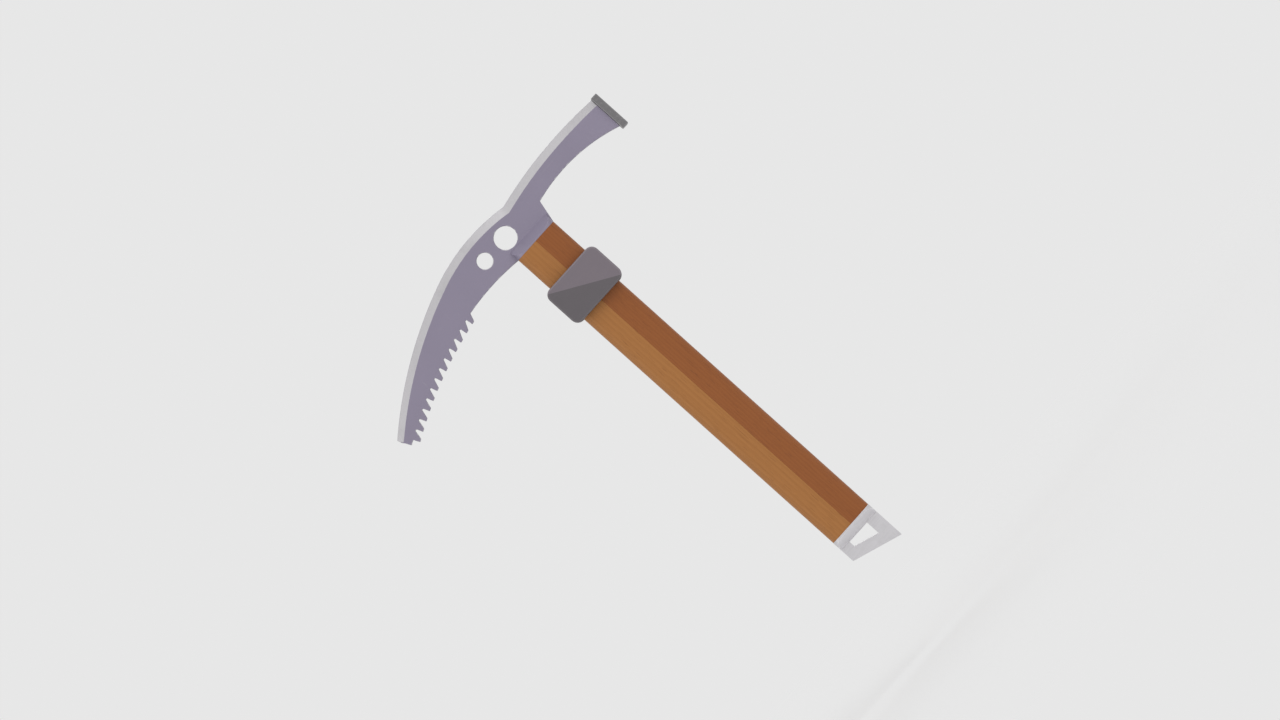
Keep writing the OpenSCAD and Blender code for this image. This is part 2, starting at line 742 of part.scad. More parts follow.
head_forging();
hammer_cap();
cap_rivets();
socket_washer();
tang_pins();
hammer_side_stave();
pick_side_stave();
stave_key();
ferrule();
ferrule_pins();
ferrule_washer();
spike();
spike_pins();
collar_head_shell();
collar_spike_shell();
collar_screws();
collar_inserts();
friction_pads();
pad_springs();
collar_wipers();
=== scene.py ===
"""Dresses the ice axe: forged head, striking cap, wooden shaft, slotted spike and hand stop."""

from __future__ import annotations

import logging
import math
from dataclasses import dataclass
from enum import Enum, IntEnum
from typing import Any, Callable, Mapping, Optional, Protocol, Sequence, Union

import bmesh
import bpy
from mathutils import Matrix, Vector


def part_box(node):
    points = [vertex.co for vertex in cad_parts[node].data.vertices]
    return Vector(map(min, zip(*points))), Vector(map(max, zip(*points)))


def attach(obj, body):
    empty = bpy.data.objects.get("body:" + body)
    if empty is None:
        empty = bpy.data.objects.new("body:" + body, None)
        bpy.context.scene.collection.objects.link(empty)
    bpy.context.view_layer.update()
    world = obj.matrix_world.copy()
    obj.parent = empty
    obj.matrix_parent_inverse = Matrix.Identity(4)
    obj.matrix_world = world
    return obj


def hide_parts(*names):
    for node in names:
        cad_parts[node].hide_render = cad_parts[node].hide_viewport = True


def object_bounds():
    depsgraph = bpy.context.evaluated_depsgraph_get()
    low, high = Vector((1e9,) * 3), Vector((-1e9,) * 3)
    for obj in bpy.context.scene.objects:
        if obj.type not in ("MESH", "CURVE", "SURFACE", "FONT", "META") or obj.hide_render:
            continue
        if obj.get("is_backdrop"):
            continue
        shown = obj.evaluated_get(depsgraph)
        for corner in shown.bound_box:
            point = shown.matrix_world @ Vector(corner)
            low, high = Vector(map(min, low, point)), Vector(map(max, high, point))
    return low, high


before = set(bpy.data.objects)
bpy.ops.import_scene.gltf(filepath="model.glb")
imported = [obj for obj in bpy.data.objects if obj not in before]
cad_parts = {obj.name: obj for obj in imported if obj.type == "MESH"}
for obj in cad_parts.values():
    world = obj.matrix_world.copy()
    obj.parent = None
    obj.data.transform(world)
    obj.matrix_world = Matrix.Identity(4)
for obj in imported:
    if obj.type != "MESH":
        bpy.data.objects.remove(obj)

LOG = logging.getLogger("ice_axe")
MM = 0.001
MIX_FACTOR, MIX_FIRST, MIX_SECOND = 0, 6, 7  # input sockets of a colour mix
MIX_COLOUR = 2                               # its output socket

Colour = tuple[float, float, float]
Triple = tuple[float, float, float]
EdgeRule = Callable[[bmesh.types.BMEdge, float], float]
FaceRule = Callable[[bpy.types.MeshPolygon], "Look"]


class Body(Enum):
    """The two rigid bodies that the pieces ride on."""

    AXE = "axe"
    HAND_STOP = "hand_stop"


class Look(IntEnum):
    """What a face of a rounded piece is dressed in."""

    AS_IS = -1
    PLAIN = 0
    WORN = 1
    THIRD = 2
    FOURTH = 3


def rgba(colour: Colour) -> tuple[float, float, float, float]:
    """Returns a colour with full opacity."""
    return (*colour, 1.0)


def toned(colour: Colour, factor: float) -> Colour:
    """Returns a colour made lighter or darker by a factor, with no channel above 1."""
    return tuple(min(1.0, factor * channel) for channel in colour)


# ---------------------------------------------------------------- shader arithmetic


class Value:
    """A shader socket in arithmetic. An expression on it adds Math nodes to its surface."""

    def __init__(self, surface: "Surface", socket: bpy.types.NodeSocket) -> None:
        """Wraps an output socket.

        Args:
            surface: The surface whose node tree holds the socket.
            socket: The output socket to wrap.
        """
        self.surface = surface
        self.socket = socket

    def _math(self, operation: str, first: "Number", second: "Number") -> "Value":
        """Returns the result of a Math node on two values."""
        return self.surface.node("ShaderNodeMath", {"operation": operation}, {0: first, 1: second})

    def __add__(self, other: "Number") -> "Value":
        """Returns self + other."""
        return self._math("ADD", self, other)

    def __sub__(self, other: "Number") -> "Value":
        """Returns self - other."""
        return self._math("SUBTRACT", self, other)

    def __rsub__(self, other: "Number") -> "Value":
        """Returns other - self."""
        return self._math("SUBTRACT", other, self)

    def __mul__(self, other: "Number") -> "Value":
        """Returns self * other."""
        return self._math("MULTIPLY", self, other)

    def __truediv__(self, other: "Number") -> "Value":
        """Returns self / other."""
        return self._math("DIVIDE", self, other)


Number = Union[Value, float]
Input = Union[Value, float, Sequence[float]]


class Surface:
    """A material while its nodes are being added."""

    def __init__(self, name: str) -> None:
        """Starts a material with a principled shader and nothing else.

        Args:
            name: The material's name.
        """
        self.material = bpy.data.materials.new(name)
        self.material.use_nodes = True
        self.tree = self.material.node_tree
        self.tree.nodes.clear()
        self.shader = self.tree.nodes.new("ShaderNodeBsdfPrincipled")
        out = self.tree.nodes.new("ShaderNodeOutputMaterial")
        self.tree.links.new(self.shader.outputs["BSDF"], out.inputs["Surface"])
        self.place = self.node("ShaderNodeTexCoord", output="Object")

    def node(self, kind: str, settings: Optional[Mapping[str, Any]] = None,
             inputs: Optional[Mapping[Union[int, str], Input]] = None,
             output: Union[int, str] = 0) -> Value:
        """Adds a node.

        Args:
            kind: The node's type.
            settings: Properties to set first.
            inputs: Values or links for its input sockets, by name or number.
            output: The output socket to return.

        Returns:
            The chosen output, ready for arithmetic.
        """
        made = self.tree.nodes.new(kind)
        for key, value in (settings or {}).items():
            setattr(made, key, value)
        for key, value in (inputs or {}).items():
            self._feed(made.inputs[key], value)
        return Value(self, made.outputs[output])

    def _feed(self, socket: bpy.types.NodeSocket, value: Input) -> None:
        """Links a value to a socket, or sets the socket's own number."""
        if isinstance(value, Value):
            self.tree.links.new(value.socket, socket)
        elif isinstance(value, (int, float)):
            socket.default_value = value
        else:
            length = len(socket.default_value)
            socket.default_value = (*value, 1.0) if length == len(value) + 1 else tuple(value)

    def stretched(self, scale: Triple, shift: Triple = (0.0, 0.0, 0.0)) -> Value:
        """Returns the shaded point scaled and shifted along each axis."""
        return self.node("ShaderNodeMapping", {},
                         {"Vector": self.place, "Scale": scale, "Location": shift})

    def noise(self, scale: Triple, detail: float, roughness: float,
              shift: Triple = (0.0, 0.0, 0.0)) -> Value:
        """Adds cloudy noise.

        Args:
            scale: Features per metre along each axis.
            detail: Number of finer layers.
            roughness: Strength of the finer layers.
            shift: Offset that gives another sample of the pattern.

        Returns:
            The noise's value, about 0.5 on average.
        """
        return self.node("ShaderNodeTexNoise", {},
                         {"Vector": self.stretched(scale, shift), "Scale": 1.0,
                          "Detail": detail, "Roughness": roughness})

    def cells(self, feature: str, scale: float, **inputs: float) -> Value:
        """Adds a pattern of rounded cells.

        Args:
            feature: What the pattern measures in each cell.
            scale: Cells per metre.
            **inputs: Further input sockets by name.

        Returns:
            The distance to the cells' middles.
        """
        return self.node("ShaderNodeTexVoronoi", {"feature": feature},
                         {"Vector": self.stretched((scale, scale, scale)), "Scale": 1.0, **inputs},
                         "Distance")

    def ease(self, value: Value, low: float, high: float) -> Value:
        """Returns a value eased from 0 at low to 1 at high."""
        return self.node("ShaderNodeMapRange", {"interpolation_type": "SMOOTHSTEP"},
                         {"Value": value, "From Min": low, "From Max": high}, "Result")

    def blend(self, factor: Number, first: Input, second: Input) -> Value:
        """Returns a colour between two colours."""
        return self.node("ShaderNodeMix", {"data_type": "RGBA"},
                         {MIX_FACTOR: factor, MIX_FIRST: first, MIX_SECOND: second}, MIX_COLOUR)

    def shaded(self, colour: Colour, shade: Value) -> Value:
        """Returns a colour made lighter or darker by a pattern."""
        return self.node("ShaderNodeVectorMath", {"operation": "SCALE"},
                         {0: colour, "Scale": shade}, "Vector")

    def along(self, axis: str) -> Value:
        """Returns one coordinate of the shaded point, in metres."""
        return self.node("ShaderNodeSeparateXYZ", {}, {0: self.place}, axis)

    def bump(self, height: Value, depth: float, strength: float) -> None:
        """Feeds a height map to the shader's normal.

        Args:
            height: The height, from 0 to 1.
            depth: What a height of 1 stands for, in metres.
            strength: How much of it is used.
        """
        normal = self.node("ShaderNodeBump", {},
                           {"Height": height, "Distance": depth, "Strength": strength}, "Normal")
        self._feed(self.shader.inputs["Normal"], normal)

    def done(self, **sockets: Input) -> bpy.types.Material:
        """Sets the shader's sockets.

        Args:
            **sockets: Values or links by socket name, with underscores for spaces.

        Returns:
            The finished material.
        """
        names = {name.lower().replace(" ", "_"): name for name in self.shader.inputs.keys()}
        for key, value in sockets.items():
            self._feed(self.shader.inputs[names[key]], value)
        return self.material


# ---------------------------------------------------------------- finishes


class Finish(Protocol):
    """Anything that makes a material."""

    def material(self) -> bpy.types.Material:
        """Returns the material."""


@dataclass(frozen=True)
class CoatedSteel:
    """Forged steel under a thin satin coat that wears through to bare metal."""

    name: str
    coat: Colour = (0.265, 0.236, 0.314)
    bare: Colour = (0.55, 0.54, 0.56)
    wear: float = 0.0
    tip_from: float = -0.110
    tip_at: float = -0.165

    def material(self) -> bpy.types.Material:
        """Returns the material."""
        s = Surface(self.name)
        clouds = s.noise((34, 34, 34), 4, 0.6)
        grain = s.noise((2600, 2600, 2600), 2, 0.6)
        nicks = s.noise((300, 300, 300), 6, 0.72, (3, 1, 4))
        long_marks = s.noise((60, 900, 1500), 2, 0.5, (7, 2, 0))
        cross_marks = s.noise((1300, 900, 90), 2, 0.5, (1, 8, 3))
        toward_tip = s.ease(s.along("X"), self.tip_from, self.tip_at)
        rubbed = s.ease(nicks + self.wear + toward_tip * 0.10, 0.76, 0.88)
        scratched = s.ease(long_marks, 0.71, 0.75) + s.ease(cross_marks, 0.73, 0.77)
        shade = clouds * 0.10 + grain * 0.10 + 0.90
        coat = s.shaded(self.coat, shade)
        thinned = tuple(0.6 * c + 0.4 * b for c, b in zip(self.coat, self.bare))
        scuffed = s.blend(scratched * 0.28, coat, thinned)
        colour = s.blend(rubbed, scuffed, self.bare)
        s.bump(grain * 0.5 + clouds * 0.3 - rubbed * 0.4, 0.03 * MM, 0.6)
        return s.done(base_color=colour, metallic=rubbed * 0.50 + 0.40,
                      roughness=grain * 0.08 + clouds * 0.08 + 0.38 - rubbed * 0.10)


@dataclass(frozen=True)
class GroundSteel:
    """Bare steel with the fine lines of a grinding belt."""

    name: str
    colour: Colour = (0.528, 0.515, 0.533)
    lines: Triple = (2600, 2600, 110)
    metallic: float = 0.65
    roughness: float = 0.42

    def material(self) -> bpy.types.Material:
        """Returns the material."""
        s = Surface(self.name)
        fine = s.noise(self.lines, 3, 0.6)
        coarse = s.noise(tuple(0.35 * count for count in self.lines), 2, 0.5, (5, 5, 5))
        stain = s.noise((55, 55, 55), 5, 0.6, (2, 9, 1))
        shade = fine * 0.16 + coarse * 0.08 + 0.88
        metal = s.shaded(self.colour, shade)
        colour = s.blend(s.ease(stain, 0.52, 0.75) * 0.5, metal, toned(self.colour, 0.82))
        s.bump(fine * 0.7 + coarse * 0.3, 0.02 * MM, 0.5)
        return s.done(base_color=colour, metallic=self.metallic,
                      roughness=fine * 0.12 + stain * 0.10 + (self.roughness - 0.10))


@dataclass(frozen=True)
class StruckSteel:
    """Dark hardened steel with the dents and scuffs of hammering."""

    name: str
    colour: Colour = (0.197, 0.191, 0.196)
    dents: float = 0.0

    def material(self) -> bpy.types.Material:
        """Returns the material."""
        s = Surface(self.name)
        scale = s.noise((420, 420, 420), 5, 0.62)
        grain = s.noise((2200, 2200, 2200), 2, 0.5)
        pits = s.ease(s.cells("SMOOTH_F1", 300, Smoothness=0.6), 0.34, 0.10)
        scuffs = s.ease(s.noise((700, 1600, 120), 3, 0.6, (4, 0, 6)), 0.60, 0.72)
        bright = (s.ease(scale, 0.50, 0.72) * (0.25 + 0.5 * self.dents)
                  + scuffs * (0.10 + 0.25 * self.dents))
        colour = s.blend(bright, self.colour, toned(self.colour, 1.9))
        s.bump(grain * 0.2 + scale * 0.3 - pits * self.dents, (0.03 + 0.09 * self.dents) * MM, 0.8)
        return s.done(base_color=colour, metallic=0.75,
                      roughness=scale * 0.16 + grain * 0.08 + 0.32)


@dataclass(frozen=True)
class Timber:
    """Oiled wood whose grain runs along the shaft.

    Args:
        name: The material's name.
        early: The colour of the wood that grows in spring.
        late: The colour of the wood that grows in summer.
        pore: The colour of the open pores.
        pith: Where the middle of the tree lay.
        ring: The width of a year's ring.
        figure: How much the rings show.
    """

    name: str
    early: Colour
    late: Colour
    pore: Colour
    pith: Triple
    ring: float = 2.1 * MM
    figure: float = 0.28

    def material(self) -> bpy.types.Material:
        """Returns the material."""
        s = Surface(self.name)
        warp = s.noise((18, 18, 3.5), 3, 0.5, self.pith)
        fibre = s.noise((1500, 1500, 26), 4, 0.65)
        streak = s.noise((260, 260, 5), 3, 0.55, (6, 1, 2))
        dashes = s.noise((2300, 2300, 90), 1, 0.4, (9, 4, 7))
        cloud = s.noise((30, 30, 9), 2, 0.5, (1, 1, 5))
        flat = s.node("ShaderNodeVectorMath", {"operation": "MULTIPLY"},
                      {0: s.place, 1: (1, 1, 0.012)})
        out = s.node("ShaderNodeVectorMath", {"operation": "DISTANCE"},
                     {0: flat, 1: self.pith}, "Value")
        year = s.node("ShaderNodeMath", {"operation": "FRACT"},
                      {0: out / self.ring + warp * 2.6 + streak * 0.5})
        band = s.ease(year, 0.15, 0.82) * (1.0 - s.ease(year, 0.86, 0.99))
        grain = band * self.figure + fibre * 0.40 + streak * 0.45 - 0.20
        wood = s.blend(s.ease(grain, 0.0, 0.95), self.early, self.late)
        pores = s.ease(dashes, 0.62, 0.70) * (1.0 - band * 0.75)
        toned = s.blend(pores * 0.45, wood, self.pore)
        colour = s.blend(cloud * 0.22, toned, self.late)
        s.bump(fibre * 0.5 + band * 0.2 - pores * 0.6, 0.05 * MM, 0.55)
        return s.done(base_color=colour, roughness=fibre * 0.14 + 0.40 + pores * 0.12,
                      specular_ior_level=0.35, coat_weight=0.05, coat_roughness=0.35)


@dataclass(frozen=True)
class MouldedPolymer:
    """Tough moulded plastic with a fine spark-eroded grain, polished a little by gloves."""

    name: str
    colour: Colour
    polish: float = 0.0

    def material(self) -> bpy.types.Material:
        """Returns the material."""
        s = Surface(self.name)
        grain = s.noise((1900, 1900, 1900), 3, 0.6)
        blotch = s.noise((70, 70, 70), 4, 0.6, (2, 2, 8))
        flow = s.noise((40, 40, 400), 2, 0.5, (5, 3, 1))
        scuffs = s.ease(s.noise((900, 300, 1500), 3, 0.6, (3, 7, 7)), 0.66, 0.74)
        shade = grain * 0.10 + blotch * 0.10 + flow * 0.05 + (0.87 + 0.08 * self.polish)
        base = s.shaded(self.colour, shade)
        colour = s.blend(scuffs * 0.20, base, toned(self.colour, 1.35))
        s.bump(grain, 0.05 * MM, 0.7 - 0.4 * self.polish)
        return s.done(base_color=colour,
                      roughness=blotch * 0.12 + grain * 0.06 + (0.52 - 0.14 * self.polish))


@dataclass(frozen=True)
class TurnedMetal:
    """Small machined metal parts: screws, pins, rivets, inserts and springs."""

    name: str
    colour: Colour
    roughness: float = 0.28

    def material(self) -> bpy.types.Material:
        """Returns the material."""
        s = Surface(self.name)
        lines = s.noise((400, 400, 4200), 2, 0.5)
        tarnish = s.noise((240, 240, 240), 4, 0.6, (4, 4, 1))
        colour = s.blend(s.ease(tarnish, 0.45, 0.7) * 0.6, self.colour, toned(self.colour, 0.78))
        s.bump(lines, 0.01 * MM, 0.5)
        return s.done(base_color=colour, metallic=0.9,
                      roughness=tarnish * 0.16 + lines * 0.05 + (self.roughness - 0.08))


@dataclass(frozen=True)
class Hide:
    """Vegetable-tanned leather for the washers and the pads."""

    name: str
    colour: Colour = (0.150, 0.065, 0.026)

    def material(self) -> bpy.types.Material:
        """Returns the material."""
        s = Surface(self.name)
        cells = s.cells("F1", 900)
        blotch = s.noise((150, 150, 150), 4, 0.6)
        colour = s.blend(blotch, toned(self.colour, 0.65), toned(self.colour, 1.3))
        s.bump(cells * 0.6 + blotch * 0.4, 0.06 * MM, 0.6)
        return s.done(base_color=colour, roughness=blotch * 0.2 + 0.5)


@dataclass(frozen=True)
class Elastomer:
    """Soft black rubber for the wiper rings."""

    name: str
    colour: Colour = (0.016, 0.016, 0.017)

    def material(self) -> bpy.types.Material:
        """Returns the material."""
        s = Surface(self.name)
        dust = s.noise((500, 500, 500), 5, 0.65)
        colour = s.blend(s.ease(dust, 0.5, 0.8) * 0.5, self.colour, toned(self.colour, 2.6))
        s.bump(dust, 0.02 * MM, 0.5)
        return s.done(base_color=colour, roughness=dust * 0.2 + 0.55)


# ---------------------------------------------------------------- mesh making


@dataclass
class Softened:
    """A node's shape with its hard edges rounded over, made as a new mesh.

    Args:
        node: The fixed part's node whose form is followed.
        name: The new piece's name.
        width: Gives an edge's rounding in metres from the edge and its angle in radians;
            0 leaves the edge.
        segments: The number of facets across a rounding.
        mend: The area, in square metres, from which a face's outline is freed of folds.
        merge: The distance within which corners are one, in metres.
        weld: The angle, in degrees, up to which neighbouring facets are merged.
        crisp: The angle, in degrees, from which shading breaks at an edge.
    """

    node: str
    name: str
    width: EdgeRule
    segments: int = 2
    mend: float = math.inf
    merge: float = 0.002 * MM
    weld: float = 0.4
    crisp: float = 38.0

    def _cleaned(self) -> bmesh.types.BMesh:
        """Returns the node's mesh without needless corners and edges."""
        bm = bmesh.new()
        bm.from_mesh(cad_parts[self.node].data)
        bmesh.ops.remove_doubles(bm, verts=bm.verts, dist=self.merge)
        bmesh.ops.dissolve_limit(bm, angle_limit=math.radians(self.weld),
                                 verts=bm.verts, edges=bm.edges)
        return bm

    def _weighted(self, bm: bmesh.types.BMesh) -> float:
        """Weighs each edge by its rounding and returns the widest one."""
        layer = bm.edges.layers.float.new("bevel_weight_edge")
        widths = [self.width(edge, edge.calc_face_angle(0.0)) for edge in bm.edges]
        widest = max(widths, default=0.0)
        for edge, width in zip(bm.edges, widths):
            edge[layer] = width / widest if widest else 0.0
        return widest

    def build(self) -> bpy.types.Object:
        """Returns the new object, with smooth shading and weighted normals."""
        mesh = bpy.data.meshes.new(self.name)
        bm = self._cleaned()
        widest = self._weighted(bm)
        for face in bm.faces:
            face.smooth = True
            face.material_index = Look.PLAIN
        bm.to_mesh(mesh)
        bm.free()
        piece = bpy.data.objects.new(self.name, mesh)
        bpy.context.scene.collection.objects.link(piece)
        if widest:
            rounding = piece.modifiers.new("rounding", "BEVEL")
            rounding.limit_method = "WEIGHT"
            rounding.width = widest
            rounding.segments = self.segments
            rounding.use_clamp_overlap = False
            rounding.material = Look.WORN
            mesh.materials.append(None)
            mesh.materials.append(None)
        settled(piece)
        unfolded(piece.data, self.mend)
        piece.data.set_sharp_from_angle(angle=math.radians(self.crisp))
        weighted = piece.modifiers.new("normals", "WEIGHTED_NORMAL")
        weighted.keep_sharp = True
        settled(piece)
        return piece


def over(degrees: float, width: float) -> EdgeRule:
    """Makes a rule that rounds the edges of more than a given angle.

    Args:
        degrees: The angle.
        width: The width of the rounding, in metres.

    Returns:
        The rule.
    """
    return lambda edge, angle: width if angle > math.radians(degrees) else 0.0


def unfolded(mesh: bpy.types.Mesh, area: float, turn: float = 150.0,
             reach: float = 0.7 * MM) -> None:
    """Merges the corners at which a rounding turned a large face's outline back on itself.

    Args:
        mesh: The mesh to mend.
        area: The least area, in square metres, of a face that is mended.
        turn: The least change of direction, in degrees, that counts as turning back.
        reach: The longest edge that may be merged away, in metres.
    """
    bm = bmesh.new()
    bm.from_mesh(mesh)
    merged: dict[bmesh.types.BMVert, bmesh.types.BMVert] = {}
    for face in bm.faces:
        for corner in face.loops if face.calc_area() > area else ():
            back, here = corner.link_loop_prev.vert, corner.vert
            ahead = corner.link_loop_next.vert
            into, onward = here.co - back.co, ahead.co - here.co
            turned = into.angle(onward, 0.0) > math.radians(turn)
            if turned and min(into.length, onward.length) < reach:
                merged[back if into.length < onward.length else ahead] = here
    if merged:
        bmesh.ops.weld_verts(bm, targetmap=merged)
        bm.to_mesh(mesh)
    bm.free()


def settled(piece: bpy.types.Object) -> None:
    """Applies a piece's modifiers to its mesh."""
    graph = bpy.context.evaluated_depsgraph_get()
    made = bpy.data.meshes.new_from_object(
        piece.evaluated_get(graph), preserve_all_data_layers=True, depsgraph=graph)
    old = piece.data
    piece.modifiers.clear()
    piece.data = made
    made.name = piece.name
    bpy.data.meshes.remove(old)


def dressed(piece: bpy.types.Object, materials: Sequence[bpy.types.Material],
            choose: Optional[FaceRule] = None) -> None:
    """Gives a piece its materials.

    Args:
        piece: The piece to dress.
        materials: Its materials; the second is for the rounded edges.
        choose: Gives the look of a face.
    """
    mesh = piece.data
    looks = [face.material_index for face in mesh.polygons]
    mesh.materials.clear()
    for material in materials:
        mesh.materials.append(material)
    for face, look in zip(mesh.polygons, looks):
        picked = choose(face) if choose else Look.AS_IS
        face.material_index = min(look if picked == Look.AS_IS else picked, len(materials) - 1)


def clad(shape: Softened, body: Body, finishes: Sequence[Finish],
         choose: Optional[FaceRule] = None) -> bpy.types.Object:
    """Makes a node's visible piece and puts it in the node's place.

    Args:
        shape: The piece's shape.
        body: The body that it rides on.
        finishes: Its finishes; the second is for the rounded edges.
        choose: Gives the look of a face.

    Returns:
        The piece.
    """
    piece = shape.build()
    dressed(piece, [finish.material() for finish in finishes], choose)
    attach(piece, body.value)
    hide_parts(shape.node)
    return piece


# ---------------------------------------------------------------- sub-assemblies


@dataclass
class ForgedHead:
    """The head: pick, web with two eyes, hammer arm and socket.

    Args:
        edge: The rounding of the outline's edges.
        tooth_edge: The rounding of the teeth.
        crease: The rounding of the blunt edges beside the bevel.
        eye_edge: The rounding of the eyes.
        socket_edge: The rounding of the socket's rim and flanks.
        soft_from: The angle, in degrees, from which an edge is rounded.
        hard_from: The angle, in degrees, from which it is more than a crease.
        slack: How far past a border an edge still belongs to it.
        tenon: The length of the wood's tenon.
        taper: The height of the socket's taper.
        pocket: Half the width, half the depth and the height of the tenon's pocket.
        socket_reach: Half the width round the shaft in which faces are the socket's.
        socket_top: The height under which faces are the socket's.
        flank_y: Half the thickness outside which a face is on the socket's flank.
        slope_y: Half the thickness outside which a face is on the socket's slope.
        slope_z: The least upward tilt of that slope.
        teeth_share: The share of the head's width that the teeth take up.
        belly: Height above the first tooth, its fall to the tip and that fall's power.
        eyes: The places of the two eyes along X.
        eye_reach: The radius round an eye's centre in which edges are the eye's.
        bevel_y: The range of a ground bevel's tilt towards the side.
        bevel_z: The least tilt of a ground bevel upwards.
        plain: The coat.
        rubbed: The coat on the rounded edges.
        ground: The bevel's bare steel.
        slope_coat_painted_light: The coat on the socket's slopes, lightened as painted light
            against their shade.
    """

    edge: float = 0.45 * MM
    tooth_edge: float = 0.30 * MM
    crease: float = 0.10 * MM
    eye_edge: float = 0.45 * MM
    socket_edge: float = 0.20 * MM
    soft_from: float = 14.0
    hard_from: float = 40.0
    slack: float = 0.2 * MM
    tenon: float = 2.8 * MM
    taper: float = 8.6 * MM
    pocket: Triple = (15 * MM, 9 * MM, 4.5 * MM)
    socket_reach: float = 22 * MM
    socket_top: float = -8 * MM
    flank_y: float = 3.5 * MM
    slope_y: float = 4.1 * MM
    slope_z: float = 0.5
    teeth_share: float = 0.36
    belly: Triple = (-0.009, 0.0365, 1.35)
    eyes: tuple[float, float] = (0.0, -0.0225)
    eye_reach: float = 8.8 * MM
    bevel_y: tuple[float, float] = (0.55, 0.975)
    bevel_z: float = 0.17
    plain: Finish = CoatedSteel("coated_steel")
    rubbed: Finish = CoatedSteel("coated_steel_rubbed_edge", wear=0.26)
    ground: Finish = GroundSteel("ground_bevel")
    # Painted light: the socket's slopes get the coat a little lighter, so that their shade does
    # not show.
    slope_coat_painted_light: Finish = CoatedSteel("coated_steel_socket_painted_light", (0.283, 0.252, 0.336))

    def __post_init__(self) -> None:
        """Reads the places of the tip, the wood and the teeth."""
        low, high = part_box("head_forging")
        socket_low, socket_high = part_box("socket_washer")
        self.tip_x = low.x
        self.teeth_from = low.x + self.teeth_share * (high.x - low.x)
        self.wood_top = socket_low.z - self.tenon
        self.shaft_x = (socket_low.x + socket_high.x) / 2

    def _in_teeth(self, point: Vector) -> bool:
        """Tells whether a point lies in the toothed part of the pick's belly."""
        return point.x < self.teeth_from and point.z < self._belly_z(point.x)

    def _belly_z(self, x: float) -> float:
        """Returns a height between the spine bevel and the teeth at x."""
        top, fall, power = self.belly
        along = (self.teeth_from - x) / (self.teeth_from - self.tip_x)
        return top - fall * along ** power

    def _near_shaft(self, point: Vector, reach: float) -> bool:
        """Tells whether a point is no further than reach from the shaft's centreline along X."""
        return abs(point.x - self.shaft_x) < reach

    def _in_pocket(self, point: Vector) -> bool:
        """Tells whether a point lies in the pocket that takes the tenon."""
        half_w, half_d, height = self.pocket
        return (point.z < self.wood_top + height and abs(point.y) < half_d
                and self._near_shaft(point, half_w))

    def _width(self, edge: bmesh.types.BMEdge, angle: float) -> float:
        """Returns the rounding for one edge."""
        if angle < math.radians(self.soft_from):
            return 0.0
        middle = (edge.verts[0].co + edge.verts[1].co) / 2
        if self._near_shaft(middle, self.socket_reach):
            if middle.z < self.wood_top + self.slack or self._in_pocket(middle):
                return 0.0
            if (middle.z < self.wood_top + self.taper + self.slack
                    and abs(middle.y) > self.flank_y):
                return self.socket_edge
        if angle < math.radians(self.hard_from):
            return self.crease
        if self._in_teeth(middle):
            return self.tooth_edge
        if any(math.hypot(middle.x - eye, middle.z) < self.eye_reach for eye in self.eyes):
            return self.eye_edge
        return self.edge

    def _look(self, face: bpy.types.MeshPolygon) -> Look:
        """Returns the third look for the ground bevel and the fourth, the coat lightened as
        painted light, for the socket's slopes.
        """
        side = abs(face.center.y)
        if face.center.z < self.socket_top and self._near_shaft(face.center, self.socket_reach):
            if side <= self.flank_y:
                return Look.AS_IS
            sloping = abs(face.normal.z) > self.slope_z and side > self.slope_y
            return Look.FOURTH if sloping else Look.PLAIN
        low, high = self.bevel_y
        ground = low < abs(face.normal.y) < high and face.normal.z > self.bevel_z
        return Look.THIRD if ground else Look.AS_IS

    def build(self) -> list[bpy.types.Object]:
        """Returns the dressed head."""
        return [clad(Softened("head_forging", "forged_head", self._width), Body.AXE,
                     [self.plain, self.rubbed, self.ground, self.slope_coat_painted_light], self._look)]


@dataclass
class StrikingCap:
    """The square cap on the hammer arm and its two flush rivets.

    Args:
        edge: The rounding of the cap's outline.
        hole_edge: The rounding of the rivet holes.
        hole_facet: The length under which an edge belongs to a round hole.
        edge_from: The angle, in degrees, from which an edge is rounded.
        facing: The least tilt towards +X of the struck face.
        steel: The finish of the cap's sides.
        corner: The finish of its rounded edges.
        face: The finish of the struck face.
        rivet: The finish of the rivets.
    """

    edge: float = 0.7 * MM
    hole_edge: float = 0.12 * MM
    hole_facet: float = 2 * MM
    edge_from: float = 30.0
    facing: float = 0.98
    steel: Finish = StruckSteel("struck_steel")
    corner: Finish = StruckSteel("struck_steel_edge", (0.24, 0.235, 0.24), 0.3)
    face: Finish = StruckSteel("struck_face", (0.21, 0.205, 0.21), 1.0)
    rivet: Finish = TurnedMetal("rivet_steel", (0.34, 0.335, 0.34), 0.36)

    def _width(self, edge: bmesh.types.BMEdge, angle: float) -> float:
        """Returns the rounding for one edge of the cap."""
        if angle < math.radians(self.edge_from):
            return 0.0
        return self.hole_edge if edge.calc_length() < self.hole_facet else self.edge

    def _look(self, face: bpy.types.MeshPolygon) -> Look:
        """Returns the third look for the struck face."""
        return Look.THIRD if face.normal.x > self.facing else Look.AS_IS

    def build(self) -> list[bpy.types.Object]:
        """Returns the cap and the rivets."""
        return [
            clad(Softened("hammer_cap", "striking_cap", self._width, segments=3), Body.AXE,
                 [self.steel, self.corner, self.face], self._look),
            clad(Softened("cap_rivets", "flush_rivets", over(40, 0.10 * MM)), Body.AXE,
                 [self.rivet])]


